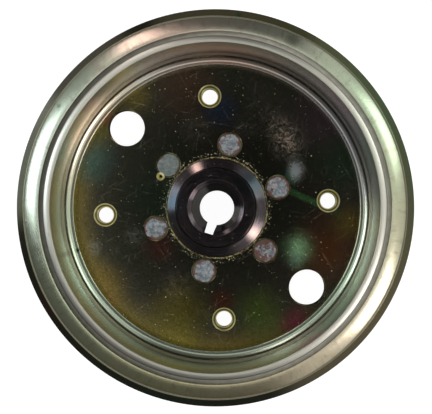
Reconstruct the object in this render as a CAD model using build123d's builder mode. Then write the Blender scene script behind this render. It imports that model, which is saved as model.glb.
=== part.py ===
"""Magneto flywheel of a small engine, modelled in millimetres.

The axis of rotation is Z. The open side, where the stator goes in, faces +Z, and the back face of the hub
boss lies on Z = 0. The wheel is a pressed steel cup riveted to a turned hub; six arc magnets stand in the rim
between the cup wall and a thin steel liner.
"""

import os
from math import cos, radians, sin

from build123d import *

# Levels along the axis
boss_height = 4.5
flange_thickness = 4.0
web_thickness = 3.5
cup_depth = 24.0
nut_seat_level = 9.5
hub_face_below_lip = 7.5

flange_back = boss_height
web_back = flange_back + flange_thickness
web_front = web_back + web_thickness
lip_top = web_front + cup_depth
hub_face = lip_top - hub_face_below_lip

# Cup: web, rim wall and the rolled rim end
outer_radius = 65.5
rim_wall = 5.0
cavity_radius = outer_radius - rim_wall
back_corner = 6.0
steep_band_foot = lip_top - 6.8
ledge_outer_radius = 62.6
ledge_inner_radius = 61.9
ledge_level = lip_top - 2.9
ledge_riser = 0.3
wide_band_inner_radius = 57.6
wide_band_top = lip_top - 1.15
wide_band_bulge = 0.22
groove_outer_radius = 57.2
rolled_edge_round = 0.4
cavity_top = lip_top - 6.0
stake_radius = 17.9
stake_height = 0.3

# Liner: a thin sleeve with a crowned rolled lip, and a coned foot that lies on the web
liner_radius = 53.3
liner_thickness = 1.0
lip_outer_radius = 55.65
lip_inner_round = 0.25
lip_crown_radius = 3.2
lip_crown_fall = 30.0
lip_under_round = 0.6
lip_depth = 2.4
foot_inner_radius = 50.1
foot_edge_height = 0.45
foot_edge_round = 0.2
foot_cone_inner_radius = 50.6
foot_cone_outer_radius = 52.0
foot_cone_rise = 0.82
foot_cone_sag = 0.05
foot_wall_height = 3.0
sleeve_outer = liner_radius + liner_thickness

# Magnets and what holds them
magnet_count = 6
magnet_arc = 52.0
base_ring_thickness = 2.0
end_plate_thickness = 1.5
end_collar_height = 3.0
magnet_bottom = web_front + base_ring_thickness
magnet_top = cavity_top - end_plate_thickness

# Hub
boss_radius = 17.0
flange_radius = 30.0
hub_seat_radius = 17.3
shoulder_top_radius = 13.9
shoulder_foot = web_front + 0.35
shoulder_top = web_front + 1.85
neck_radius = 13.4
neck_start = shoulder_top + 0.5
hub_edge_chamfer = 0.4
boss_edge_chamfer = 0.5
flange_edge_chamfer = 0.6
puller_thread_radius = 13.0
puller_mouth_chamfer = 0.8
small_end_radius = 6.0
taper_ratio = 5.0
lead_in_start = hub_face - 2.5
mouth_radius = 9.3
mouth_foot_radius = 7.85
mouth_depth = 0.95
keyway_width = 3.4
keyway_reach = 9.55
keyway_angle = 253.2

# Holes in the web
screw_pitch_radius = 39.0
screw_hole_radius = 2.75
screw_mouth_radius = 4.0
screw_count = 4
screw_angle = 3.65
window_pitch_radius = 42.0
window_radius = 6.25
window_count = 2
window_angle = 138.5
mark_pitch_radius = 22.5
mark_angle = 150.7
mark_drill_radius = 0.55
mark_mouth_radius = 1.35
mark_depth = 1.6

# Rivets
rivet_count = 6
rivet_pitch_radius = 22.5
rivet_angle = 18.5
rivet_shank_radius = 3.2
rivet_front_radius = 4.0
rivet_mouth_radius = 4.35
rivet_crown = 0.12
rivet_head_radius = 4.8
rivet_head_height = 2.8
rivet_head_land = 0.8
rivet_mouth_depth = rivet_mouth_radius - rivet_shank_radius
rivet_front_foot = web_front - rivet_mouth_depth
rivet_front_level = rivet_front_foot + rivet_front_radius - rivet_shank_radius


def ring_sector(inner, outer, start, sweep_angle):
    """A face between two radii, covering an angle about the origin."""
    first = radians(start)
    last = radians(start + sweep_angle)
    with BuildSketch() as sector:
        with BuildLine():
            CenterArc((0, 0), outer, start, sweep_angle)
            CenterArc((0, 0), inner, start, sweep_angle)
            Line((inner * cos(first), inner * sin(first)), (outer * cos(first), outer * sin(first)))
            Line((inner * cos(last), inner * sin(last)), (outer * cos(last), outer * sin(last)))
        make_face()
    return sector.sketch


os.makedirs("parts", exist_ok=True)

# Cup: the web is its bottom, and the wall is rolled inwards over the magnets at the open end
band_foot = Vector(ledge_inner_radius, ledge_level + ledge_riser)
band_top = Vector(wide_band_inner_radius, wide_band_top)
band_outward = (band_foot - band_top).rotate(Axis.Z, 90).normalized()
band_crown = (band_foot + band_top) / 2 + band_outward * wide_band_bulge
with BuildPart() as shell:
    with BuildSketch(Plane.XZ):
        with BuildLine():
            Polyline(
                (hub_seat_radius, web_front + stake_height / 2),
                (hub_seat_radius, web_back),
                (outer_radius - back_corner, web_back),
            )
            RadiusArc(
                (outer_radius - back_corner, web_back),
                (outer_radius, web_back + back_corner),
                -back_corner,
            )
            Polyline(
                (outer_radius, web_back + back_corner),
                (outer_radius, steep_band_foot),
                (ledge_outer_radius, ledge_level),
                (ledge_inner_radius, ledge_level),
                band_foot,
            )
            ThreePointArc(band_foot, band_crown, band_top)
            RadiusArc(
                band_top,
                (groove_outer_radius, wide_band_top - rolled_edge_round),
                -rolled_edge_round,
            )
            Polyline(
                (groove_outer_radius, wide_band_top - rolled_edge_round),
                (groove_outer_radius, cavity_top),
                (cavity_radius, cavity_top),
                (cavity_radius, web_front),
                (stake_radius, web_front),
                ((stake_radius + hub_seat_radius) / 2, web_front + stake_height),
                (hub_seat_radius, web_front + stake_height / 2),
            )
        make_face()
    revolve(axis=Axis.Z)
    with BuildSketch(Plane.XY.offset(web_back)):
        with PolarLocations(window_pitch_radius, window_count, start_angle=window_angle):
            Circle(window_radius)
    extrude(amount=web_thickness, mode=Mode.SUBTRACT)
    with Locations(Plane.XY.offset(web_front)):
        with PolarLocations(screw_pitch_radius, screw_count, start_angle=screw_angle):
            CounterSinkHole(screw_hole_radius, screw_mouth_radius, counter_sink_angle=90)
        with PolarLocations(rivet_pitch_radius, rivet_count, start_angle=rivet_angle):
            CounterSinkHole(rivet_shank_radius, rivet_mouth_radius, counter_sink_angle=90)
        with PolarLocations(mark_pitch_radius, 1, start_angle=mark_angle):
            CounterSinkHole(mark_drill_radius, mark_mouth_radius, mark_depth, counter_sink_angle=90)
shell.part.label = "shell"
export_step(shell.part, "parts/shell.step")

# Hub: boss, riveting flange, shoulder and neck, bored to the crankshaft's taper
taper_length = lead_in_start - nut_seat_level
large_end_radius = small_end_radius + taper_length / taper_ratio / 2
with BuildPart() as hub:
    with BuildSketch(Plane.XZ):
        with BuildLine():
            Polyline(
                (puller_thread_radius + puller_mouth_chamfer, 0),
                (boss_radius - boss_edge_chamfer, 0),
                (boss_radius, boss_edge_chamfer),
                (boss_radius, flange_back),
                (flange_radius - flange_edge_chamfer, flange_back),
                (flange_radius, flange_back + flange_edge_chamfer),
                (flange_radius, web_back),
                (hub_seat_radius, web_back),
                (hub_seat_radius, shoulder_foot),
                (shoulder_top_radius, shoulder_top),
                (neck_radius, neck_start),
                (neck_radius, hub_face - hub_edge_chamfer),
                (neck_radius - hub_edge_chamfer, hub_face),
                (mouth_radius, hub_face),
                (mouth_foot_radius, hub_face - mouth_depth),
                (large_end_radius, lead_in_start),
                (small_end_radius, nut_seat_level),
                (puller_thread_radius, nut_seat_level),
                (puller_thread_radius, puller_mouth_chamfer),
                close=True,
            )
        make_face()
    revolve(axis=Axis.Z)
    with BuildSketch(Plane.XY.offset(nut_seat_level)):
        with PolarLocations(keyway_reach / 2, 1, start_angle=keyway_angle):
            Rectangle(keyway_reach, keyway_width)
    extrude(until=Until.LAST, mode=Mode.SUBTRACT)
    with BuildSketch(Plane.XY.offset(flange_back)):
        with PolarLocations(rivet_pitch_radius, rivet_count, start_angle=rivet_angle):
            Circle(rivet_shank_radius)
    extrude(amount=flange_thickness, mode=Mode.SUBTRACT)
hub.part.label = "hub"
export_step(hub.part, "parts/hub.step")

# Liner: the smooth sleeve that the stator runs in
foot_top = web_front + foot_edge_height
cone_foot = Vector(foot_cone_inner_radius, foot_top)
cone_top = Vector(foot_cone_outer_radius, foot_top + foot_cone_rise)
cone_hollow = (cone_foot + cone_top) / 2 + Vector(0, -foot_cone_sag)
wall_foot = Vector(liner_radius, web_front + foot_wall_height)
lip_inner = Vector(liner_radius + lip_inner_round, lip_top)
crown_across = sin(radians(lip_crown_fall))
crown_down = 1 - cos(radians(lip_crown_fall))
lip_outer = lip_inner + lip_crown_radius * Vector(crown_across, -crown_down)
lip_side_round = (lip_outer_radius - lip_outer.X) / (1 - crown_across)
lip_under = Vector(sleeve_outer, lip_top - lip_depth)
with BuildPart() as magnet_liner:
    with BuildSketch(Plane.XZ):
        with BuildLine():
            Polyline(
                (sleeve_outer, web_front),
                (foot_inner_radius, web_front),
                (foot_inner_radius, foot_top - foot_edge_round),
            )
            RadiusArc(
                (foot_inner_radius, foot_top - foot_edge_round),
                (foot_inner_radius + foot_edge_round, foot_top),
                foot_edge_round,
            )
            Line((foot_inner_radius + foot_edge_round, foot_top), cone_foot)
            foot_cone = ThreePointArc(cone_foot, cone_hollow, cone_top)
            TangentArc(cone_top, wall_foot, tangent=foot_cone % 1)
            Line(wall_foot, (liner_radius, lip_top - lip_inner_round))
            RadiusArc((liner_radius, lip_top - lip_inner_round), lip_inner, lip_inner_round)
            lip_crown = RadiusArc(lip_inner, lip_outer, lip_crown_radius)
            lip_side = JernArc(lip_outer, lip_crown % 1, lip_side_round, lip_crown_fall - 90)
            Line(lip_side @ 1, (lip_outer_radius, lip_under.Y + lip_under_round))
            RadiusArc(
                (lip_outer_radius, lip_under.Y + lip_under_round),
                (lip_outer_radius - lip_under_round, lip_under.Y),
                lip_under_round,
            )
            Polyline((lip_outer_radius - lip_under_round, lip_under.Y), lip_under, (sleeve_outer, web_front))
        make_face()
    revolve(axis=Axis.Z)
magnet_liner.part.label = "magnet_liner"
export_step(magnet_liner.part, "parts/magnet_liner.step")

# Rings under and over the magnets
with BuildPart() as base_ring:
    with BuildSketch(Plane.XY.offset(web_front)):
        Circle(cavity_radius)
        Circle(sleeve_outer, mode=Mode.SUBTRACT)
    extrude(amount=base_ring_thickness)
base_ring.part.label = "base_ring"
export_step(base_ring.part, "parts/base_ring.step")

with BuildPart() as end_ring:
    with BuildSketch(Plane.XY.offset(magnet_top)):
        Circle(cavity_radius)
        Circle(sleeve_outer, mode=Mode.SUBTRACT)
    extrude(amount=end_plate_thickness)
    with BuildSketch(Plane.XY.offset(cavity_top)):
        Circle(groove_outer_radius)
        Circle(sleeve_outer, mode=Mode.SUBTRACT)
    extrude(amount=end_collar_height)
end_ring.part.label = "end_ring"
export_step(end_ring.part, "parts/end_ring.step")

# Magnets, and the spacers that keep them apart
pole_pitch = 360 / magnet_count
for index in range(magnet_count):
    magnet_start = index * pole_pitch
    with BuildPart() as magnet:
        with BuildSketch(Plane.XY.offset(magnet_bottom)):
            add(ring_sector(sleeve_outer, cavity_radius, magnet_start, magnet_arc))
        extrude(amount=magnet_top - magnet_bottom)
    magnet.part.label = f"magnet_{index + 1}"
    export_step(magnet.part, f"parts/magnet_{index + 1}.step")

    with BuildPart() as pole_spacer:
        with BuildSketch(Plane.XY.offset(magnet_bottom)):
            add(ring_sector(sleeve_outer, cavity_radius, magnet_start + magnet_arc, pole_pitch - magnet_arc))
        extrude(amount=magnet_top - magnet_bottom)
    pole_spacer.part.label = f"pole_spacer_{index + 1}"
    export_step(pole_spacer.part, f"parts/pole_spacer_{index + 1}.step")

# Rivets: a round head behind the flange, and an end spread into the countersink in the web
head_back = flange_back - rivet_head_height
head_dome = rivet_head_height - rivet_head_land
head_sphere = (rivet_head_radius**2 / head_dome + head_dome) / 2
crown_sphere = (rivet_front_radius**2 / rivet_crown + rivet_crown) / 2
with BuildPart() as rivet_form:
    with BuildSketch(Plane.XZ):
        with BuildLine():
            Line((0, head_back), (0, rivet_front_level + rivet_crown))
            RadiusArc(
                (0, rivet_front_level + rivet_crown),
                (rivet_front_radius, rivet_front_level),
                crown_sphere,
            )
            Polyline(
                (rivet_front_radius, rivet_front_level),
                (rivet_shank_radius, rivet_front_foot),
                (rivet_shank_radius, flange_back),
                (rivet_head_radius, flange_back),
                (rivet_head_radius, flange_back - rivet_head_land),
            )
            RadiusArc((rivet_head_radius, flange_back - rivet_head_land), (0, head_back), head_sphere)
        make_face()
    revolve(axis=Axis.Z)

for index in range(rivet_count):
    with BuildPart() as rivet:
        with PolarLocations(rivet_pitch_radius, 1, start_angle=rivet_angle + index * 360 / rivet_count):
            add(rivet_form.part)
    rivet.part.label = f"rivet_{index + 1}"
    export_step(rivet.part, f"parts/rivet_{index + 1}.step")
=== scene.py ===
"""Looks of a small engine's magneto flywheel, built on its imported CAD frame.

Profiles are lists of (radius, height) in millimetres. Meshes and positions in the scene are in metres.
"""

import math
import random

import bmesh
import bpy
from mathutils import Matrix, Vector


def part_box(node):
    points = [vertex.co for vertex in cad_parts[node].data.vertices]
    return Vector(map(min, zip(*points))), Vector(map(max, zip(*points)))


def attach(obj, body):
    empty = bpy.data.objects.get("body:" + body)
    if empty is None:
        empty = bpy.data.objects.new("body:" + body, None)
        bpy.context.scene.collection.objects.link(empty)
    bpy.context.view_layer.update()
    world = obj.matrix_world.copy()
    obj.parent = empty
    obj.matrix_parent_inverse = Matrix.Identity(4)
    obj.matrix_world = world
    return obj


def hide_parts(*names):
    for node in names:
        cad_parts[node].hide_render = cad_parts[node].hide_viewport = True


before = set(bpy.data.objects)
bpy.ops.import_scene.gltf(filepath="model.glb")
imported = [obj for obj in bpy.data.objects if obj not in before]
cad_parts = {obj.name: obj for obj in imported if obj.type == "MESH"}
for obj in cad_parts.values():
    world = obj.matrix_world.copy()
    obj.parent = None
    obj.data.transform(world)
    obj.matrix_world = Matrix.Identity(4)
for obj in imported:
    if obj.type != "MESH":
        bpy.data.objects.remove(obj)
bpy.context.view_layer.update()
random.seed(7)

MM = 0.001
SEGMENTS = 384

# Levels and radii that the CAD gives
cup_low, cup_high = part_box("shell")
liner_low, liner_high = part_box("magnet_liner")
hub_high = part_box("hub")[1]
outer_radius = cup_high.x / MM
web_back = cup_low.z / MM
web_front = liner_low.z / MM
lip_top = liner_high.z / MM
lip_outer_radius = liner_high.x / MM
hub_face = hub_high.z / MM
flange_radius = hub_high.x / MM

# Cup: web, wall and the rim that is rolled in over the magnets
back_corner = 6.0
cavity_radius = 60.5
cavity_top = lip_top - 6.0
steep_band_foot = lip_top - 6.8
ledge_outer_radius = 62.6
ledge_inner_radius = 61.9
ledge_level = lip_top - 2.9
band_foot = (ledge_inner_radius, lip_top - 2.6)
band_top = (57.6, lip_top - 1.15)
band_bulge = 0.22
groove_radius = 57.2
hub_seat_radius = 17.3
stake_radius = 17.9
stake_height = 0.3

# Holes in the web
screw_count = 4
screw_pitch_radius = 39.0
screw_angle = 3.65
screw_hole_radius = 2.75
screw_mouth_radius = 4.0
window_count = 2
window_pitch_radius = 42.0
window_angle = 138.5
window_radius = 6.25
window_edge = 0.2
mark_angle = 150.7
mark_radius = 0.55
mark_mouth_radius = 1.35

# Liner: a sleeve with a crowned lip, and a foot that runs up into its wall
sleeve_outer = 54.3
liner_radius = 53.3
lip_depth = 2.4
lip_inner_round = 0.25
lip_under_round = 0.6
crown_radius = 4.2
crown_fall = 24
foot_inner_radius = 49.9
foot_outer_radius = 50.85
foot_top = web_front + 0.45
foot_edge_round = 0.38
foot_blend_top = web_front + 3.0
foot_blend_sag = 0.64

# Hub: boss, flange, shoulder and neck, with the keyed taper bore
boss_radius = 17.0
flange_back = 4.5
flange_edge = 0.6
shoulder_foot = web_front + 0.35
shoulder_top = web_front + 1.85
shoulder_inner_radius = 13.9
neck_foot = web_front + 2.35
neck_radius = 13.4
neck_edge = 0.4
mouth_radius = 9.3
mouth_floor_radius = 7.85
mouth_depth = 0.95
lead_in_start = hub_face - 2.5
nut_seat_level = 9.5
small_end_radius = 6.0
large_end_radius = small_end_radius + (lead_in_start - nut_seat_level) / 10
keyway_width = 3.4
keyway_reach = 9.55
keyway_angle = 253.2
puller_radius = 13.0
puller_edge = 0.8
thread_pitch = 1.5
thread_depth = 0.8
thread_start = 1.6
thread_end = 8.0
thread_segments = 96

# Rivets
rivet_count = 6
rivet_pitch_radius = 22.5
rivet_angle = 18.5
rivet_mouth_radius = 4.35
rivet_front = web_front - 0.35
rivet_crown = 0.1
shank_radius = 3.2
head_radius = 4.8
head_edge = 0.8
dome_height = 2.0


# ---------------------------------------------------------------- meshes


def polar(radius, degrees):
    """A point at a radius and an angle about the axis."""
    return radius * math.cos(math.radians(degrees)), radius * math.sin(math.radians(degrees))


def profile(*corners, closed=True, support=0.12):
    """An outline through (radius, height, round) corners, each round cut into short steps."""
    points = []
    for index, (x, y, size) in enumerate(corners):
        here = Vector((x, y))
        if size == 0 or not (closed or 0 < index < len(corners) - 1):
            points.append(here)
            continue
        before = Vector(corners[index - 1][:2]) - here
        after = Vector(corners[(index + 1) % len(corners)][:2]) - here
        half = before.angle(after) / 2
        reach = size / math.tan(half)
        centre = here + (before.normalized() + after.normalized()).normalized() * size / math.sin(half)
        first = here + before.normalized() * reach - centre
        last = here + after.normalized() * reach - centre
        sweep = math.remainder(math.atan2(last.y, last.x) - math.atan2(first.y, first.x), math.tau)
        steps = max(2, round(abs(math.degrees(sweep)) / 9))
        if before.length > reach + 3 * support:
            points.append(here + before.normalized() * (reach + support))
        for step in range(steps + 1):
            points.append(centre + Matrix.Rotation(sweep * step / steps, 2) @ first)
        if after.length > reach + 3 * support:
            points.append(here + after.normalized() * (reach + support))
    return points


def bowed(start, end, rise, steps=24):
    """Points on an arc between two ends, standing off the straight line by a rise to its left."""
    start = Vector(start)
    end = Vector(end)
    along = end - start
    aside = Vector((-along.y, along.x)).normalized()
    radius = (along.length**2 / 4 + rise**2) / (2 * abs(rise))
    sense = math.copysign(1, rise)
    half = math.asin(along.length / 2 / radius)
    centre = (start + end) / 2 + aside * sense * (abs(rise) - radius)
    points = []
    for step in range(steps + 1):
        turn = half * (2 * step / steps - 1)
        outwards = aside * sense * radius * math.cos(turn)
        points.append(centre + outwards + along.normalized() * radius * math.sin(turn))
    return points


def arc(centre, radius, start, end, step=9):
    """Points on a circular arc, its angles in degrees from straight up, turning outwards."""
    count = max(2, round(abs(end - start) / step))
    turns = [math.radians(start + (end - start) * index / count) for index in range(count + 1)]
    return [Vector(centre) + radius * Vector((math.sin(turn), math.cos(turn))) for turn in turns]


def new_object(name, form):
    """An object made from a bmesh, which is freed."""
    mesh = bpy.data.meshes.new(name)
    form.to_mesh(mesh)
    form.free()
    piece = bpy.data.objects.new(name, mesh)
    bpy.context.scene.collection.objects.link(piece)
    return piece


def turned(outline, segments=SEGMENTS):
    """A bmesh in metres of a closed outline turned once round the Z axis."""
    form = bmesh.new()
    rings = []
    for step in range(segments):
        angle = math.tau * step / segments
        across = Vector((math.cos(angle), math.sin(angle), 0)) * MM
        rings.append([form.verts.new(across * point[0] + Vector((0, 0, point[1] * MM))) for point in outline])
    for ring, following in zip(rings, rings[1:] + rings[:1]):
        for index in range(len(outline)):
            after = (index + 1) % len(outline)
            if outline[index][0] == outline[after][0] == 0:
                continue
            form.faces.new((ring[index], following[index], following[after], ring[after]))
    bmesh.ops.remove_doubles(form, verts=form.verts, dist=1e-8)
    bmesh.ops.recalc_face_normals(form, faces=form.faces)
    return form


def countersunk(radius, mouth, depth):
    """A cutter for a through hole whose countersunk mouth has a small broken edge."""
    edge = 0.07
    return turned(
        [
            (0, -depth),
            (radius, -depth),
            (radius, -(mouth - radius)),
            (mouth, 0),
            (mouth + 2 * edge, edge),
            (mouth + 2 * edge, 1),
            (0, 1),
        ],
        segments=96,
    )


def cut(piece, cutters, levels):
    """Takes the cutters, (bmesh, matrix) pairs, out of a piece, and keeps its flats at their levels flat."""
    joined = bmesh.new()
    for form, place in cutters:
        copy = form.copy()
        bmesh.ops.transform(copy, matrix=place, verts=copy.verts)
        mesh = bpy.data.meshes.new("cutter")
        copy.to_mesh(mesh)
        copy.free()
        joined.from_mesh(mesh)
        bpy.data.meshes.remove(mesh)
    tool = new_object("cutters", joined)
    boolean = piece.modifiers.new("holes", "BOOLEAN")
    boolean.object = tool
    boolean.operation = "DIFFERENCE"
    boolean.solver = "MANIFOLD"
    evaluated = piece.evaluated_get(bpy.context.evaluated_depsgraph_get())
    mesh = bpy.data.meshes.new_from_object(evaluated)
    flat = bmesh.new()
    flat.from_mesh(mesh)
    nearby = 2e-6
    for vertex in flat.verts:
        for level in levels:
            if abs(vertex.co.z - level * MM) < nearby:
                vertex.co.z = level * MM
    bmesh.ops.dissolve_degenerate(flat, dist=nearby, edges=flat.edges)
    bmesh.ops.triangulate(flat, faces=[face for face in flat.faces if len(face.verts) > 4])
    flat.to_mesh(mesh)
    flat.free()
    piece.modifiers.clear()
    piece.data = mesh
    bpy.data.objects.remove(tool)


def around(count, radius, start, height=0.0):
    """Placements in metres for a pattern of holes round the axis."""
    places = []
    for index in range(count):
        x, y = polar(radius, start + index * 360 / count)
        places.append(Matrix.Translation((x * MM, y * MM, height * MM)))
    return places


def finish_mesh(piece, sharp=15):
    """Smooth shading with hard edges kept hard."""
    piece.data.shade_smooth()
    piece.data.set_sharp_from_angle(angle=math.radians(sharp))


def stand_for(piece, slot, *replaced):
    """Says what body a piece rides on, and hides the CAD nodes that it stands for. The finish that it is
    given is not used.
    """
    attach(piece, "root")
    if replaced:
        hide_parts(*replaced)


def cup_outline():
    """The web, the wall and the rolled rim, with the ridge that the staking raised at the hub."""
    stake_middle = (stake_radius + hub_seat_radius) / 2
    points = profile(
        (hub_seat_radius, web_front + stake_height / 2, 0),
        (hub_seat_radius, web_back, 0),
        (outer_radius, web_back, back_corner),
        (outer_radius, steep_band_foot, 0.35),
        (ledge_outer_radius, ledge_level, 0.25),
        (ledge_inner_radius, ledge_level, 0.08),
        (*band_foot, 0),
        closed=False,
    )
    points += bowed(band_foot, band_top, -band_bulge)[1:]
    points += profile(
        (*band_top, 0),
        (groove_radius, band_top[1] - 0.1, 0.12),
        (groove_radius, cavity_top, 0),
        (cavity_radius, cavity_top, 0),
        (cavity_radius, web_front, 0),
        (stake_radius, web_front, 0),
        (stake_middle, web_front + stake_height, 0),
        (hub_seat_radius, web_front + stake_height / 2, 0),
        closed=False,
    )[1:-1]
    return points


def liner_outline():
    """The sleeve with its foot on the web, its crowned lip and the lip's rounded outer side."""
    crown_centre = (liner_radius + lip_inner_round, lip_top - crown_radius)
    crown_end = arc(crown_centre, crown_radius, 0, crown_fall)[-1]
    fall = math.radians(crown_fall)
    side_round = (lip_outer_radius - crown_end.x) / (1 - math.sin(fall))
    side_centre = (lip_outer_radius - side_round, crown_end.y - side_round * math.cos(fall))
    under_centre = (lip_outer_radius - lip_under_round, lip_top + lip_under_round - lip_depth)
    points = profile(
        (sleeve_outer, web_front, 0),
        (foot_inner_radius, web_front, 0),
        (foot_inner_radius, foot_top, foot_edge_round),
        (foot_outer_radius, foot_top, 0),
        closed=False,
    )
    points += bowed((foot_outer_radius, foot_top), (liner_radius, foot_blend_top), -foot_blend_sag, 20)[1:]
    points.append(Vector((liner_radius, foot_blend_top + 0.2)))
    points.append(Vector((liner_radius, lip_top - lip_inner_round - 0.1)))
    points += arc((liner_radius + lip_inner_round, lip_top - lip_inner_round), lip_inner_round, -90, 0)
    points += arc(crown_centre, crown_radius, 0, crown_fall, 3)[1:]
    points += arc(side_centre, side_round, crown_fall, 90)[1:]
    points += arc(under_centre, lip_under_round, 90, 180)
    points.append(Vector((sleeve_outer, lip_top - lip_depth)))
    return points


def hub_outline():
    """The boss, the flange, the shoulder, the neck and the bore, from the back round to the back."""
    return profile(
        (puller_radius + puller_edge, 0, 0.15),
        (boss_radius - 0.5, 0, 0.15),
        (boss_radius, 0.5, 0.15),
        (boss_radius, flange_back, 0.3),
        (flange_radius - flange_edge, flange_back, 0.15),
        (flange_radius, flange_back + flange_edge, 0.15),
        (flange_radius, web_back, 0),
        (hub_seat_radius, web_back, 0),
        (hub_seat_radius, shoulder_foot, 0.12),
        (shoulder_inner_radius, shoulder_top, 0.3),
        (neck_radius, neck_foot, 0.3),
        (neck_radius, hub_face - neck_edge, 0.12),
        (neck_radius - neck_edge, hub_face, 0.15),
        (mouth_radius, hub_face, 0.3),
        (mouth_floor_radius, hub_face - mouth_depth, 0.35),
        (large_end_radius, lead_in_start, 0.3),
        (small_end_radius, nut_seat_level, 0.1),
        (puller_radius, nut_seat_level, 0),
        (puller_radius, puller_edge, 0.15),
    )


def key_slot_cutter():
    """A block in metres that cuts the keyway along the bore."""
    form = bmesh.new()
    bmesh.ops.create_cube(form, size=1)
    height = hub_face - nut_seat_level + 2
    turn = Matrix.Rotation(math.radians(keyway_angle), 4, "Z")
    shift = Matrix.Translation((keyway_reach / 2 * MM, 0, (nut_seat_level + height / 2 - 0.5) * MM))
    size = Matrix.Diagonal((keyway_reach * MM, keyway_width * MM, height * MM, 1))
    bmesh.ops.transform(form, matrix=turn @ shift @ size, verts=form.verts)
    return form


def thread_ridges():
    """A bmesh in metres of the puller thread, one ridge wound round the bore that runs out at its ends."""
    form = bmesh.new()
    root_radius = puller_radius + 0.1
    run_out = thread_segments / 4
    steps = round((thread_end - thread_start) / thread_pitch * thread_segments)
    rings = []
    for step in range(steps + 1):
        angle = math.tau * step / thread_segments
        level = thread_start + thread_pitch * step / thread_segments
        crest_radius = puller_radius - thread_depth * min(1, step / run_out, (steps - step) / run_out)
        section = ((root_radius, -0.7), (crest_radius, -0.1), (crest_radius, 0.1), (root_radius, 0.7))
        ring = []
        for reach, rise in section:
            corner = Vector((reach * math.cos(angle), reach * math.sin(angle), level + rise)) * MM
            ring.append(form.verts.new(corner))
        rings.append(ring)
    for ring, following in zip(rings, rings[1:]):
        for index in range(4):
            after = (index + 1) % 4
            form.faces.new((ring[index], following[index], following[after], ring[after]))
    form.faces.new(rings[0])
    form.faces.new(rings[-1])
    bmesh.ops.recalc_face_normals(form, faces=form.faces)
    return form


def rivet_outline():
    """A rivet: its peened front end, the shank and the domed head on the back."""
    points = [(0, rivet_front + rivet_crown)]
    for reach in (0.8, 1.5, 1.7, 2.4, 3.1, 3.5):
        points.append((reach, rivet_front + rivet_crown * math.cos(reach * 0.35)))
    points += [
        (3.85, rivet_front),
        (3.97, rivet_front - 0.06),
        (shank_radius, rivet_front - 0.8),
        (shank_radius, flange_back),
        (head_radius - 0.1, flange_back),
        (head_radius, flange_back - 0.1),
        (head_radius, flange_back - head_edge),
    ]
    head_end = flange_back - (head_edge + dome_height)
    sphere = (head_radius**2 / dome_height + dome_height) / 2
    for step in range(1, 10):
        reach = head_radius * (1 - step / 10)
        points.append((reach, head_end + sphere - math.sqrt(sphere**2 - reach**2)))
    points.append((0, head_end))
    return [Vector(point) for point in points]


# Cup
cup = new_object("cup_pressing", turned(cup_outline()))
window_mouth_radius = window_radius + window_edge
window_cutter = turned(
    [
        (0, -5),
        (window_radius, -5),
        (window_radius, -window_edge),
        (window_mouth_radius, 0),
        (window_mouth_radius, 1),
        (0, 1),
    ],
    segments=128,
)
mark_chamfer = mark_mouth_radius - mark_radius
mark_cutter = turned(
    [
        (0, -1.6),
        (mark_radius, -1.4),
        (mark_radius, -mark_chamfer),
        (mark_mouth_radius, 0),
        (mark_mouth_radius, 1),
        (0, 1),
    ],
    segments=64,
)
screw_cutter = countersunk(screw_hole_radius, screw_mouth_radius, 5)
rivet_cutter = countersunk(shank_radius, rivet_mouth_radius, 5)
web_cutters = []
for cutter, count, radius, start in (
    (window_cutter, window_count, window_pitch_radius, window_angle),
    (screw_cutter, screw_count, screw_pitch_radius, screw_angle),
    (rivet_cutter, rivet_count, rivet_pitch_radius, rivet_angle),
    (mark_cutter, 1, rivet_pitch_radius, mark_angle),
):
    web_cutters += [(cutter, place) for place in around(count, radius, start, web_front)]
cut(cup, web_cutters, (web_front, web_back))
finish_mesh(cup)
stand_for(cup, "zinc_plated_cup", "shell")

# Liner
liner = new_object("liner_sleeve", turned(liner_outline()))
finish_mesh(liner)
stand_for(liner, "bright_liner", "magnet_liner")

# Hub
hub = new_object("hub_turning", turned(hub_outline()))
shank_cutter = turned([(0, -5), (shank_radius, -5), (shank_radius, 5), (0, 5)], segments=64)
hub_cutters = [(key_slot_cutter(), Matrix.Identity(4))]
for place in around(rivet_count, rivet_pitch_radius, rivet_angle, flange_back):
    hub_cutters.append((shank_cutter, place))
cut(hub, hub_cutters, (hub_face, flange_back))
finish_mesh(hub)
stand_for(hub, "dark_turned_hub", "hub")

# Ridges of the puller thread, which the CAD leaves as a plain bore
thread = new_object("puller_thread_ridges", thread_ridges())
finish_mesh(thread, 30)
stand_for(thread, "dark_turned_hub")

# Rivets
rivets = []
for index, place in enumerate(around(rivet_count, rivet_pitch_radius, rivet_angle)):
    form = turned(rivet_outline(), segments=64)
    bmesh.ops.transform(form, matrix=place, verts=form.verts)
    rivet = new_object(f"rivet_end_{index + 1}", form)
    finish_mesh(rivet)
    stand_for(rivet, "bare_rivet", f"rivet_{index + 1}")
    rivets.append(rivet)

# Burrs that the staking raised round the hub
burr_outline = [(17.25, 0.0), (17.3, 0.34), (17.45, 0.4), (17.62, 0.3), (17.8, 0.0)]
burr_form = turned([(reach, web_front + rise) for reach, rise in burr_outline], segments=720)
for vertex in burr_form.verts:
    if vertex.co.z > (web_front + 0.1) * MM:
        vertex.co.z += random.uniform(-0.3, 0.2) * MM
        swing = 1 + random.uniform(-0.003, 0.014)
        vertex.co.x *= swing
        vertex.co.y *= swing
burr = new_object("stake_burr", burr_form)
finish_mesh(burr, 40)
stand_for(burr, "zinc_plated_cup")


# ---------------------------------------------------------------- materials


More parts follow.
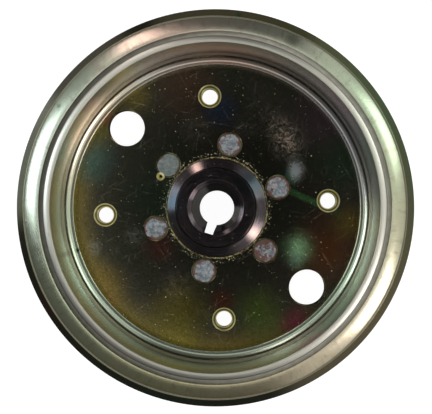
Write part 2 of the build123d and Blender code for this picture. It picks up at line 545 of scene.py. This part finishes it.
class Wire:
    """A value in a node tree. Arithmetic on wires adds Math nodes."""

    def __init__(self, graph, socket):
        self.graph = graph
        self.socket = socket

    def __add__(self, other):
        return self.graph.math("ADD", self, other)

    def __sub__(self, other):
        return self.graph.math("SUBTRACT", self, other)

    def __mul__(self, other):
        return self.graph.math("MULTIPLY", self, other)

    def __rsub__(self, other):
        return self.graph.math("SUBTRACT", other, self)

    __radd__ = __add__
    __rmul__ = __mul__


class Graph:
    """A node tree with short calls for the nodes that the materials use."""

    def __init__(self, tree):
        self.tree = tree

    def feed(self, socket, value):
        if isinstance(value, Wire):
            self.tree.links.new(value.socket, socket)
        else:
            socket.default_value = value

    def node(self, kind, inputs=None, output=0, **settings):
        node = self.tree.nodes.new("ShaderNode" + kind)
        for key, value in settings.items():
            setattr(node, key, value)
        for key, value in (inputs or {}).items():
            self.feed(node.inputs[key], value)
        return Wire(self, node.outputs[output])

    def math(self, operation, first, second=0.0, third=0.0):
        return self.node("Math", {0: first, 1: second, 2: third}, operation=operation)

    def smooth(self, value, low, high, start=0.0, end=1.0):
        """Rises from start to end, with soft ends, as the value goes from low to high."""
        inputs = {0: value, 1: low, 2: high, 3: start, 4: end}
        return self.node("MapRange", inputs, interpolation_type="SMOOTHSTEP")

    def ramp(self, value, low, high, start=0.0, end=1.0):
        """Rises in a straight line from start to end as the value goes from low to high."""
        return self.node("MapRange", {0: value, 1: low, 2: high, 3: start, 4: end})

    def mix(self, share, first, second, blend="MIX"):
        first = (*first, 1) if isinstance(first, tuple) and len(first) == 3 else first
        second = (*second, 1) if isinstance(second, tuple) and len(second) == 3 else second
        inputs = {0: share, 6: first, 7: second}
        return self.node("Mix", inputs, output=2, data_type="RGBA", blend_type=blend)

    def noise(self, place, scale, detail=2.0, roughness=0.5, stretch=None, distortion=0.0):
        """Noise from 0 to 1, its size set by a scale in cycles per millimetre."""
        if stretch:
            place = self.node("VectorMath", {0: place, 1: stretch}, operation="MULTIPLY")
        inputs = {"Vector": place, "Scale": scale, "Detail": detail, "Roughness": roughness}
        return self.node("TexNoise", {**inputs, "Distortion": distortion})

    def vector(self, x=0.0, y=0.0, z=0.0):
        return self.node("CombineXYZ", {0: x, 1: y, 2: z})

    def split(self, vector):
        node = self.tree.nodes.new("ShaderNodeSeparateXYZ")
        self.feed(node.inputs[0], vector)
        return [Wire(self, socket) for socket in node.outputs]

    def place(self):
        """Where the surface is: a vector in millimetres, its parts, and its radius and angle in degrees."""
        coordinates = self.node("TexCoord", output=3)
        scaled = self.node("VectorMath", {0: coordinates, 1: (1000, 1000, 1000)}, operation="MULTIPLY")
        x, y, z = self.split(scaled)
        radius = self.math("SQRT", x * x + y * y)
        angle = self.math("ARCTAN2", y, x) * math.degrees(1)
        return scaled, x, y, z, radius, angle

    def cells(self, place, scale, share, spread=0.10):
        """Small dots of unlike sizes, 1 at their centres, in a share of the cells of a Voronoi pattern."""
        node = self.tree.nodes.new("ShaderNodeTexVoronoi")
        self.feed(node.inputs["Vector"], place)
        self.feed(node.inputs["Scale"], scale)
        chance = self.split(Wire(self, node.outputs["Color"]))
        kept = self.math("LESS_THAN", chance[0], share)
        return self.smooth(Wire(self, node.outputs["Distance"]), chance[1] * spread + 0.05, 0.02) * kept

    def streaks(self, place, scale, length, threshold):
        """Fine scratches in four directions, as long as the length against their spacing."""
        total = 0.0
        for index, heading in enumerate((12, 58, 101, 147)):
            turned_place = self.node(
                "VectorRotate",
                {"Vector": place, "Angle": math.radians(heading)},
                rotation_type="Z_AXIS",
            )
            grain = self.noise(turned_place, scale, 1, 0.5, stretch=(1 / length, 1, 1 + index))
            total = self.smooth(grain, threshold, threshold + 0.08) + total
        return total

    def from_pattern(self, radius, angle, count, pitch_radius, start):
        """The distance from the nearest centre of a ring of evenly spaced centres."""
        half = 180 / count
        turn = self.math("WRAP", angle - start, half, -half) * math.radians(1)
        side = radius * self.math("COSINE", turn) - pitch_radius
        cross = radius * self.math("SINE", turn)
        return self.math("SQRT", side * side + cross * cross)

    def round_colours(self, angle, stops):
        """Colours that run into one another round the axis, as (degrees from -60, colour) stops."""
        node = self.tree.nodes.new("ShaderNodeValToRGB")
        turn = self.math("WRAP", angle, 300.0, -60.0)
        self.feed(node.inputs[0], self.ramp(turn, -60.0, 300.0))
        elements = node.color_ramp.elements
        for index, (degrees, colour) in enumerate(stops):
            place = (degrees + 60) / 360
            element = elements[index] if index < 2 else elements.new(place)
            element.position = place
            element.color = (*colour, 1)
        last = elements.new(1.0)
        last.color = (*stops[0][1], 1)
        return Wire(self, node.outputs[0])

    def distance(self, x, y, centre):
        """How far the surface is from a centre, seen along the axis."""
        east = x - centre[0]
        north = y - centre[1]
        return self.math("SQRT", east * east + north * north)

    def patch(self, x, y, centre, size, warp=0.0):
        """A soft round patch, 1 at its centre and 0 from its size outwards."""
        return self.smooth(self.distance(x, y, centre) + warp, size, 0.0)

    def bump(self, height, strength, distance):
        return self.node("Bump", {"Height": height, "Strength": strength, "Distance": distance})

    def metal(self, colour, roughness, normal, metallic=1.0):
        """The surface shader, joined to the material's output."""
        inputs = {"Base Color": colour, "Roughness": roughness, "Metallic": metallic, "Normal": normal}
        surface = self.node("BsdfPrincipled", inputs)
        output = self.tree.nodes.new("ShaderNodeOutputMaterial")
        self.tree.links.new(surface.socket, output.inputs["Surface"])


def new_material(name):
    """An empty node material and its graph."""
    material = bpy.data.materials.new(name)
    material.use_nodes = True
    material.node_tree.nodes.clear()
    return material, Graph(material.node_tree)


def web_film(g, spot, x, y, radius, angle):
    """The colours of the passivation film on the web, placed one by one, in linear light."""
    warp = (g.noise(spot, 0.07, 4, 0.65) - 0.5) * 16
    film = g.mix(g.noise(spot, 0.05, 3, 0.6), (0.12, 0.17, 0.12), (0.20, 0.16, 0.13))
    edge = g.smooth(radius + warp * 0.35, 40.0, 52.5)
    lower_left = g.smooth(g.math("ABSOLUTE", g.math("WRAP", angle - 222.0, 180.0, -180.0)), 105.0, 60.0)
    film = g.mix(edge * lower_left, film, (0.44, 0.34, 0.08))
    # Centre and size in millimetres, colour, strength
    patches = (
        ((-11, 42), 17, (0.34, 0.20, 0.13), 0.7),
        ((38, 32), 18, (0.26, 0.17, 0.22), 0.8),
        ((45, 15), 16, (0.10, 0.20, 0.12), 0.8),
        ((1, 34), 9, (0.12, 0.19, 0.38), 0.7),
        ((-43, 17), 12, (0.16, 0.33, 0.29), 0.8),
        ((-42, 29), 9, (0.40, 0.40, 0.12), 0.7),
        ((-28, 39), 9, (0.52, 0.42, 0.12), 0.8),
        ((-38, 31), 4.5, (0.50, 0.20, 0.14), 0.7),
        ((-22, 4), 16, (0.10, 0.20, 0.13), 0.6),
        ((-40, -27), 12, (0.50, 0.36, 0.10), 0.7),
        ((-39, -35), 6, (0.62, 0.28, 0.10), 0.8),
        ((-13, -47), 9, (0.50, 0.42, 0.08), 0.8),
        ((-13, -37), 16, (0.42, 0.36, 0.08), 0.85),
        ((-20, -14), 8, (0.40, 0.13, 0.11), 0.7),
        ((14, -36), 13, (0.30, 0.44, 0.10), 0.85),
        ((2, -33), 7, (0.34, 0.10, 0.06), 0.8),
        ((28, -40), 8, (0.48, 0.07, 0.16), 0.75),
        ((38, -15), 18, (0.44, 0.18, 0.08), 0.9),
        ((46, -5), 9, (0.52, 0.38, 0.10), 0.8),
        ((28, -14), 9, (0.42, 0.82, 0.44), 0.95),
        ((27, -18), 5, (0.36, 0.62, 0.44), 0.8),
        ((25, 10), 5, (0.12, 0.40, 0.26), 0.6),
    )
    for centre, size, colour, strength in patches:
        film = g.mix(g.patch(x, y, centre, size, warp * (size / 24)) * strength, film, colour)
    # A green streak that runs from a rivet towards a screw hole
    east = x - 24.0
    north = y - 6.5
    along = east * 0.91 - north * 0.41
    across = g.math("ABSOLUTE", east * 0.41 + north * 0.91)
    streak = g.smooth(across, 1.6, 0.4) * g.smooth(along, -1.0, 1.5) * g.smooth(along, 25.0, 9.0)
    return g.mix(streak * 0.9, film, (0.30, 0.78, 0.30))


def hole_edges(g, film, x, y, radius, angle, on_web):
    """The film with the edges of the rivet holes, screw holes and dimple, with painted shade and painted
    highlights in their mouths, and where the last two are.
    """
    from_rivet = g.from_pattern(radius, angle, rivet_count, rivet_pitch_radius, rivet_angle)
    # Rivet mouths: dark painted shade inside, a lighter painted highlight at the outer edge
    rivet_mouth_film_and_painted_shade = g.mix(g.smooth(from_rivet, 4.05, 4.25), (0.12, 0.10, 0.06), (0.46, 0.42, 0.26))
    film = g.mix(g.smooth(from_rivet, 4.5, 4.4) * on_web, film, rivet_mouth_film_and_painted_shade)
    from_screw = g.from_pattern(radius, angle, screw_count, screw_pitch_radius, screw_angle)
    # Screw mouths: bright painted highlights at both edges of the countersink, dark painted shade between
    edges = g.smooth(from_screw, 3.25, 2.95) + g.smooth(from_screw, 3.5, 3.75)
    screw_mouth_film_and_painted_light = g.mix(g.math("MINIMUM", edges, 1.0), (0.22, 0.18, 0.07), (0.95, 0.92, 0.55))
    at_screw = g.smooth(from_screw, 4.1, 4.0) * on_web
    film = g.mix(at_screw, film, screw_mouth_film_and_painted_light)
    from_mark = g.distance(x, y, polar(rivet_pitch_radius, mark_angle))
    # Dimple: near-black painted shade in its hole, inside a gold ring
    mark_film_and_painted_shade = g.mix(g.smooth(from_mark, 0.45, 0.7), (0.02, 0.02, 0.01), (0.95, 0.90, 0.50))
    at_mark = g.smooth(from_mark, 1.5, 1.35) * on_web
    film = g.mix(at_mark, film, mark_film_and_painted_shade)
    return film, at_screw + at_mark


def rim_film(g, spot, x, y, z, radius, angle, grain, behind):
    """The colours of the turned band and of the yellower outside and back, in linear light, with painted
    shade on the ledge.
    """
    drift = angle + (g.noise(spot, 0.12, 3, 0.6) - 0.5) * 30
    band = g.round_colours(drift, (
        (-60, (0.60, 0.53, 0.40)), (-35, (0.63, 0.58, 0.46)), (-5, (0.58, 0.58, 0.43)),
        (30, (0.50, 0.62, 0.46)), (55, (0.56, 0.62, 0.50)), (80, (0.56, 0.55, 0.47)),
        (112, (0.66, 0.53, 0.45)), (138, (0.50, 0.58, 0.48)), (170, (0.54, 0.60, 0.54)),
        (205, (0.50, 0.57, 0.42)), (255, (0.56, 0.55, 0.35)), (285, (0.60, 0.54, 0.38)),
    ))
    smears = g.noise(g.vector(radius * 0.22, angle * 0.5, z * 0.1), 1.0, 4, 0.7)
    band = g.mix(g.smooth(smears, 0.50, 0.72) * 0.5, band, (0.34, 0.32, 0.24))
    lines = g.noise(g.vector(radius * 0.3, angle * 2.2, z * 0.2), 1.0, 3, 0.8)
    band = g.mix(g.smooth(lines, 0.56, 0.72) * 0.35, band, (0.78, 0.76, 0.66))
    yellow = g.round_colours(drift, (
        (-60, (0.52, 0.44, 0.28)), (-35, (0.66, 0.56, 0.33)), (0, (0.48, 0.52, 0.30)),
        (28, (0.40, 0.60, 0.32)), (80, (0.56, 0.51, 0.26)), (117, (0.56, 0.52, 0.36)),
        (140, (0.52, 0.52, 0.44)), (167, (0.52, 0.60, 0.48)), (200, (0.44, 0.48, 0.32)),
        (211, (0.62, 0.34, 0.28)), (222, (0.44, 0.50, 0.34)), (265, (0.42, 0.56, 0.40)),
    ))
    yellow = g.mix(g.smooth(lines, 0.50, 0.70) * 0.4, yellow, (0.24, 0.26, 0.14))
    outside = g.smooth(radius, 62.2, 62.8)
    rim = g.mix(g.math("MAXIMUM", outside, behind), band, yellow)
    stains = (
        (63.4, 83, 1.7, (0.10, 0.36, 0.13), 0.8),
        (60.4, 147, 1.0, (0.10, 0.32, 0.12), 0.8),
        (60.0, 65, 4.0, (0.14, 0.14, 0.12), 0.7),
    )
    # Painted shade: the narrow ledge at the foot of the band is darkened
    painted_ledge_shade = g.smooth(radius, 61.8, 61.95) * g.smooth(radius, 62.75, 62.6)
    rim = g.mix(painted_ledge_shade * 0.8, rim, (0.20, 0.19, 0.14))
    for reach, bearing, size, stain, strength in stains:
        rim = g.mix(g.patch(x, y, polar(reach, bearing), size, (grain - 0.5) * 2) * strength, rim, stain)
    return rim


def zinc_plate():
    """Yellow-passivated zinc: a mirror-like web with film colours, a satin turned rim."""
    material, g = new_material("zinc_plate")
    spot, x, y, z, radius, angle = g.place()
    film = web_film(g, spot, x, y, radius, angle)

    grain = g.noise(spot, 1.3, 4, 0.85)
    film = g.mix(1.0, film, g.smooth(grain, 0.36, 0.66, 0.78, 1.22), "MULTIPLY")
    flecks = g.smooth(g.noise(spot, 0.8, 4, 0.85), 0.54, 0.72)
    film = g.mix(flecks * 0.14, film, (0.34, 0.32, 0.12))
    wisps = g.smooth(g.noise(spot, 0.5, 5, 0.75, distortion=1.5), 0.36, 0.66)
    brown = 0.0
    brown_smears = (((25, 23), 9, 0.7), ((21, 29), 8, 0.4), ((-7, 28), 8, 0.2), ((-14, -27), 10, 0.2))
    for centre, size, strength in brown_smears:
        brown = g.patch(x, y, centre, size) * strength + brown
    film = g.mix(brown * wisps, film, (0.50, 0.37, 0.32))
    smudge = 0.0
    grey_smudges = (((-43, -14), 4, 0.5), ((-29, -10), 5, 0.3), ((10, 28), 7, 0.15), ((15, 36), 8, 0.12))
    for centre, size, strength in grey_smudges:
        smudge = g.patch(x, y, centre, size) * strength + smudge
    smudge = g.patch((x - 27.5) * 1.35, y, (0, 13), 6.0, (grain - 0.5) * 7) * 0.65 + smudge * wisps
    film = g.mix(smudge, film, (0.36, 0.39, 0.47))
    scratch = g.streaks(spot, 2.2, 22.0, 0.70) * 0.35
    arcs = g.noise(g.vector(radius, angle * 0.05, z), 1.1, 4, 0.75)
    scratch = g.smooth(arcs, 0.60, 0.80) * 0.35 + scratch
    film = g.mix(g.math("MINIMUM", scratch * 0.5, 0.5), film, (0.40, 0.36, 0.30))
    near_hub = g.smooth(radius, 20.2, 17.8)
    dots = g.cells(spot, 0.55, 0.2) + g.cells(spot, 1.1, 0.4) + g.cells(spot, 2.1, 0.9) * near_hub
    dots = g.math("MINIMUM", dots, 1.0)
    film = g.mix(dots, film, (0.95, 0.82, 0.40))
    raised = g.cells(spot, 2.1, 0.8, 0.55) * g.smooth(radius, 19.9, 18.8)
    film = g.mix(raised, film, (0.98, 0.90, 0.52))

    on_web = g.math("LESS_THAN", z, web_front + 2.0) * g.math("LESS_THAN", radius, cavity_radius)
    hole_wall = on_web * g.math("LESS_THAN", z, web_front - 0.01) * g.math("GREATER_THAN", z, web_back + 0.02)
    film = g.mix(hole_wall, film, (0.50, 0.46, 0.22))
    film, at_edges = hole_edges(g, film, x, y, radius, angle, on_web)
    behind = g.math("LESS_THAN", z, web_back + 0.02)
    rim = rim_film(g, spot, x, y, z, radius, angle, grain, behind)
    colour = g.mix(on_web * (1 - behind), rim, film)

    sway = (g.noise(spot, 0.15, 3, 0.6) - 0.5) * 14
    glow = g.patch((x - 28.5) * 1.35, y, (0, -14), 9.5, sway)
    rough_web = 0.125 + glow * 0.10 + raised * 0.35 + scratch * 0.2 + smudge * 0.35
    rough_web = rough_web + brown * wisps * 0.3 + dots * 0.3 + at_edges * 0.25
    rough_web = g.math("MINIMUM", rough_web, 0.6)
    rough_rim = g.math("MULTIPLY_ADD", g.noise(spot, 0.4, 4, 0.6), 0.14, 0.15)
    roughness = g.mix(on_web, rough_rim, rough_web)
    turning = g.noise(g.vector(radius, angle * 0.01, z), 3.5, 4, 0.75)
    height = turning * (1 - on_web) + g.noise(spot, 1.2, 3, 0.6) * on_web * 0.25 + dots + raised * 1.5
    flake = g.math("MINIMUM", (dots + raised) * on_web, 1.0)
    g.metal(colour, roughness, g.bump(height, 0.25, 0.00006), metallic=1 - flake * 0.7)
    return material


def liner_steel():
    """Smooth drawn sheet steel, light grey on its lip, with uneven film colours on its wall, painted shade
    round its upper wall and painted light above its foot.
    """
    material, g = new_material("liner_steel")
    spot, x, y, z, radius, angle = g.place()
    colour = g.mix(g.noise(spot, 0.1, 4), (0.66, 0.65, 0.60), (0.56, 0.57, 0.52))
    drift = angle + (g.noise(spot, 0.10, 3, 0.6) - 0.5) * 40
    tint = g.round_colours(drift, (
        (-60, (0.46, 0.56, 0.46)), (-30, (0.48, 0.60, 0.46)), (0, (0.44, 0.46, 0.38)),
        (25, (0.42, 0.42, 0.46)), (60, (0.46, 0.43, 0.42)), (85, (0.66, 0.48, 0.40)),
        (115, (0.62, 0.60, 0.56)), (135, (0.60, 0.54, 0.42)), (150, (0.66, 0.56, 0.44)),
        (175, (0.56, 0.60, 0.46)), (210, (0.46, 0.56, 0.46)), (260, (0.46, 0.53, 0.43)),
    ))
    # Painted shade: the upper wall is darkened by turns round the axis
    painted_shade_greys = ((-60, 0.7), (-30, 0.7), (-6, 0.34), (10, 0.45), (25, 0.8), (60, 1.0),
             (115, 0.85), (132, 0.42), (148, 0.45), (166, 0.6), (205, 0.56), (260, 0.7))
    painted_shade = g.round_colours(drift, [(degrees, (grey, grey, grey)) for degrees, grey in painted_shade_greys])
    upper_wall = g.smooth(z, web_front + 6.0, web_front + 14.0)
    tint = g.mix(upper_wall, tint, g.mix(1.0, tint, painted_shade, "MULTIPLY"))
    low = g.smooth(z, lip_top - 0.6, lip_top - 1.6)
    colour = g.mix(low * 0.9, colour, tint)
    scuffs = g.noise(g.vector(radius, angle * 0.03, z), 2.4, 4, 0.75)
    colour = g.mix(g.smooth(scuffs, 0.6, 0.8) * 0.4, colour, (0.32, 0.30, 0.26))
    colour = g.mix(g.patch(x, y, polar(50.6, 197), 1.3), colour, (0.03, 0.03, 0.03))
    above_foot = g.smooth(z, web_front + 1.6, web_front + 2.2)
    # Painted light: the lower wall is lightened above the foot
    colour = g.mix(g.smooth(z, web_front + 11, web_front + 3) * above_foot * 0.8, colour, (0.98, 0.92, 0.84))
    crown = g.smooth(z, lip_top - 1.0, lip_top - 0.4)
    foot = g.smooth(z, web_front + 7, web_front + 3) * above_foot
    roughness = g.math("MULTIPLY_ADD", scuffs, 0.16, 0.14) + crown * 0.12 + foot * 0.2
    g.metal(colour, roughness, g.bump(scuffs, 0.2, 0.00005))
    return material


def hub_steel():
    """Turned steel under a dark oxide, with concentric tool marks and highlights painted on its shoulder."""
    material, g = new_material("hub_steel")
    spot, x, y, z, radius, angle = g.place()
    colour = g.mix(g.noise(spot, 0.25, 4, 0.6), (0.090, 0.066, 0.078), (0.058, 0.056, 0.062))
    marks = g.noise(g.vector(radius, angle * 0.012, z), 3.2, 5, 0.8)
    colour = g.mix(g.smooth(marks, 0.50, 0.68) * 0.7, colour, (0.22, 0.19, 0.20))
    # Painted highlights: lighter patches on the shoulder where the lamps glint on it
    painted_highlights = (
        (172, 8, (0.045, 0.070, 0.092)),
        (36, 9, (0.038, 0.060, 0.074)),
        (118, 3.6, (0.50, 0.37, 0.34)),
        (-35, 4.2, (0.44, 0.34, 0.31)),
    )
    for bearing, size, highlight_colour in painted_highlights:
        colour = g.mix(g.patch(x, y, polar(15.5, bearing), size) * 0.8, colour, highlight_colour)
    dots = g.cells(spot, 1.3, 0.3)
    colour = g.mix(dots, colour, (0.8, 0.76, 0.66))
    roughness = g.math("MINIMUM", g.math("MULTIPLY_ADD", marks, 0.14, 0.07) + dots * 0.3, 0.6)
    g.metal(colour, roughness, g.bump(marks + dots, 0.5, 0.00006))
    return material


def rivet_steel():
    """Bare peened steel, rusting at the edge."""
    material, g = new_material("rivet_steel")
    spot, x, y, _, radius, angle = g.place()
    reach = g.from_pattern(radius, angle, rivet_count, rivet_pitch_radius, rivet_angle)
    blotch = g.noise(spot, 0.6, 3, 0.6)
    uneven = reach + (g.noise(spot, 0.22, 2) - 0.5) * 3
    colour = g.mix(g.smooth(blotch, 0.38, 0.62), (0.36, 0.42, 0.48), (0.20, 0.23, 0.27))
    colour = g.mix(g.smooth(g.noise(spot, 0.8, 3, 0.65), 0.54, 0.68), colour, (0.56, 0.58, 0.60))
    clean = g.smooth(g.math("ABSOLUTE", g.math("WRAP", angle - 138.5, 180.0, -180.0)), 24.0, 18.0)
    rusty = g.patch(x, y, polar(rivet_pitch_radius, -41.5), 10) * 0.13
    rim = g.smooth(uneven + (blotch - 0.5) * 3.5, 3.1, 3.6)
    spots = g.smooth(g.noise(spot, 0.45, 3, 0.7, distortion=1.5) + rusty, 0.58, 0.66)
    rust = g.math("MAXIMUM", rim, spots) * (1 - clean)
    colour = g.mix(rust * 0.85, colour, (0.17, 0.036, 0.016))
    colour = g.mix(clean * 0.7, colour, g.mix(blotch, (0.34, 0.40, 0.38), (0.10, 0.12, 0.11)))
    colour = g.mix(g.smooth(uneven, 3.75, 3.95), colour, (0.13, 0.11, 0.08))
    rings = g.math("SINE", reach * 7.0 + (blotch - 0.5) * 6)
    height = rings * 0.25 + blotch
    metallic = g.math("MULTIPLY_ADD", rust, -0.8, 1.0)
    g.metal(colour, 0.42, g.bump(height, 0.5, 0.00012), metallic=metallic)
    return material


def burr_gold():
    """Zinc flakes raised round the hub."""
    material, g = new_material("burr_gold")
    spot = g.place()[0]
    colour = g.mix(g.smooth(g.noise(spot, 1.1, 3, 0.85), 0.44, 0.52), (0.06, 0.045, 0.015), (1.0, 0.88, 0.42))
    g.metal(colour, 0.3, g.bump(g.noise(spot, 3.0, 3, 0.8), 1.0, 0.0001), metallic=0.4)
    return material


def plain_metal(name, light, dark, roughness, painted_shade_range=None):
    """Dull metal for the pieces inside the rim, with painted shade that darkens it towards one side if it has
    a painted shade range.
    """
    material, g = new_material(name)
    spot, x, y = g.place()[:3]
    colour = g.mix(g.noise(spot, 0.4, 4), light, dark)
    if painted_shade_range:
        # Painted shade: darker towards one side
        colour = g.mix(1.0, colour, g.smooth(x * 0.85 + y * 0.15, *painted_shade_range, 0.36, 1.0), "MULTIPLY")
    g.metal(colour, roughness, g.bump(g.noise(spot, 2.0, 3), 0.3, 0.0001))
    return material


def dress(piece, material):
    piece.data.materials.clear()
    piece.data.materials.append(material)


dress(cup, zinc_plate())
dress(burr, burr_gold())
dress(liner, liner_steel())
turned_steel = hub_steel()
dress(hub, turned_steel)
dress(thread, turned_steel)
peened_steel = rivet_steel()
for rivet in rivets:
    dress(rivet, peened_steel)
ring_metal = plain_metal("ring_metal", (0.80, 0.78, 0.72), (0.42, 0.41, 0.38), 0.5, (-40, 35))
magnet_metal = plain_metal("magnet_metal", (0.12, 0.12, 0.13), (0.08, 0.08, 0.09), 0.6)
spacer_metal = plain_metal("spacer_metal", (0.58, 0.58, 0.59), (0.46, 0.46, 0.47), 0.4)
carried_over = (
    ("end_ring", ring_metal),
    ("base_ring", ring_metal),
    ("magnet_", magnet_metal),
    ("pole_spacer", spacer_metal),
)
for name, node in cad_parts.items():
    for start, material in carried_over:
        if name.startswith(start) and name != "magnet_liner":
            for slot in node.material_slots:
                slot.material = material


# ---------------------------------------------------------------- studio

floor_half_width = 3.0
floor_level = -0.0002
floor_form = bmesh.new()
bmesh.ops.create_grid(floor_form, x_segments=1, y_segments=1, size=floor_half_width)
bmesh.ops.translate(floor_form, verts=floor_form.verts, vec=(0, 0, floor_level))
floor = new_object("floor", floor_form)
floor.visible_glossy = False
paper, g = new_material("paper")
surface = g.node("BsdfPrincipled", {
    "Base Color": (0.3, 0.3, 0.3, 1), "Roughness": 0.9,
    "Emission Color": (1, 1, 1, 1), "Emission Strength": 0.96,
})
paper_output = paper.node_tree.nodes.new("ShaderNodeOutputMaterial")
paper.node_tree.links.new(surface.socket, paper_output.inputs["Surface"])
dress(floor, paper)

world = bpy.data.worlds.new("studio")
world.use_nodes = True
world.node_tree.nodes.clear()
bpy.context.scene.world = world
g = Graph(world.node_tree)
towards = g.node("TexCoord", output=0)
east, north, up = g.split(towards)
zenith = g.math("ARCCOSINE", up) * math.degrees(1)
azimuth = g.math("ARCTAN2", north, east) * math.degrees(1)
turn = g.math("WRAP", azimuth, 300.0, -60.0)


def sector(start, end, soft):
    """1 between two azimuths, falling to 0 over soft degrees outside them."""
    return g.smooth(turn, start - soft, start) * g.smooth(turn, end + soft, end)


east_side = g.smooth(turn, 63.0, 60.0) + g.smooth(turn, 285.0, 298.0)
north_gap = sector(64, 108, 4)
north_west = sector(125, 150, 10)
west = sector(150, 180, 6)
south = sector(190, 285, 12)

# A dark ceiling over the wheel, a bright ring round it, and cards of unlike brightness down the walls
off_east = east - 0.008
off_north = north - 0.020
from_hood = g.math("ARCSINE", g.math("SQRT", off_east * off_east + off_north * off_north)) * math.degrees(1)
hood = g.smooth(from_hood, 1.0, 9.0, 0.012, 0.048) + g.smooth(from_hood, 9.8, 13.5, 0.0, 0.90)
high = 0.95 - 0.20 * north_gap - 0.15 * south
wall = 0.64 * east_side + 0.07 * north_gap + 0.29 * north_west + 0.31 * west + 0.07 * south + 0.06
upper = g.smooth(zenith, 33.0, 24.0)
ceiling = g.math("MULTIPLY_ADD", upper, high - wall, wall)
below = 0.13 * east_side + 0.06 * north_gap + 0.09 * north_west + 0.2 * west + 0.01 * south + 0.01
lower = g.smooth(zenith, 66.0, 84.0)
level = g.math("MULTIPLY_ADD", lower, below - ceiling, ceiling) * g.math("MINIMUM", hood, 1.0)
sky = g.mix(level, (0.0, 0.0, 0.0), (1.0, 0.98, 0.90))
seen = g.node("LightPath", output=0)
dark = g.node("Background", {0: sky, 1: 1.0})
bright = g.node("Background", {0: (1, 1, 1, 1), 1: 0.97})
both = world.node_tree.nodes.new("ShaderNodeMixShader")
world.node_tree.links.new(seen.socket, both.inputs[0])
world.node_tree.links.new(dark.socket, both.inputs[1])
world.node_tree.links.new(bright.socket, both.inputs[2])
world_output = world.node_tree.nodes.new("ShaderNodeOutputWorld")
world.node_tree.links.new(both.outputs[0], world_output.inputs["Surface"])


def softbox(name, azimuth, elevation, width, height, radiance, colour, distance=0.8):
    """A rectangular light that faces the wheel, its size given by the angles it covers."""
    lamp = bpy.data.lights.new(name, "AREA")
    lamp.shape = "RECTANGLE"
    lamp.size = 2 * distance * math.tan(math.radians(width / 2))
    lamp.size_y = 2 * distance * math.tan(math.radians(height / 2))
    lamp.energy = radiance * math.pi * lamp.size * lamp.size_y
    lamp.color = colour
    light = bpy.data.objects.new(name, lamp)
    x, y = polar(distance * math.cos(math.radians(elevation)), azimuth)
    light.location = (x, y, distance * math.sin(math.radians(elevation)))
    light.rotation_euler = Vector(light.location).to_track_quat("Z", "Y").to_euler()
    light.visible_camera = False
    bpy.context.scene.collection.objects.link(light)


# Azimuth, elevation, width and height in degrees, then radiance and colour
softbox("light_right", 25, 37, 18, 27, 2.0, (0.92, 1.0, 0.90))
softbox("light_top", 117, 39, 9, 32, 2.6, (1.0, 0.86, 0.80))
softbox("light_left", 167, 39, 23, 30, 3.0, (0.90, 0.98, 1.0))
softbox("light_lower_right", 329, 39, 19, 32, 3.2, (1.0, 0.92, 0.88))

# The camera looks straight down at the open side
camera_data = bpy.data.cameras.new("camera")
camera_data.lens = 73.3
camera_data.sensor_width = 36
camera_data.shift_x = -0.0523
camera_data.shift_y = 0.0019
camera_data.clip_start = 0.01
camera = bpy.data.objects.new("camera", camera_data)
camera.location = (0.0076, 0, 0.319)
bpy.context.scene.collection.objects.link(camera)
bpy.context.scene.camera = camera
bpy.context.scene.view_settings.view_transform = "Standard"
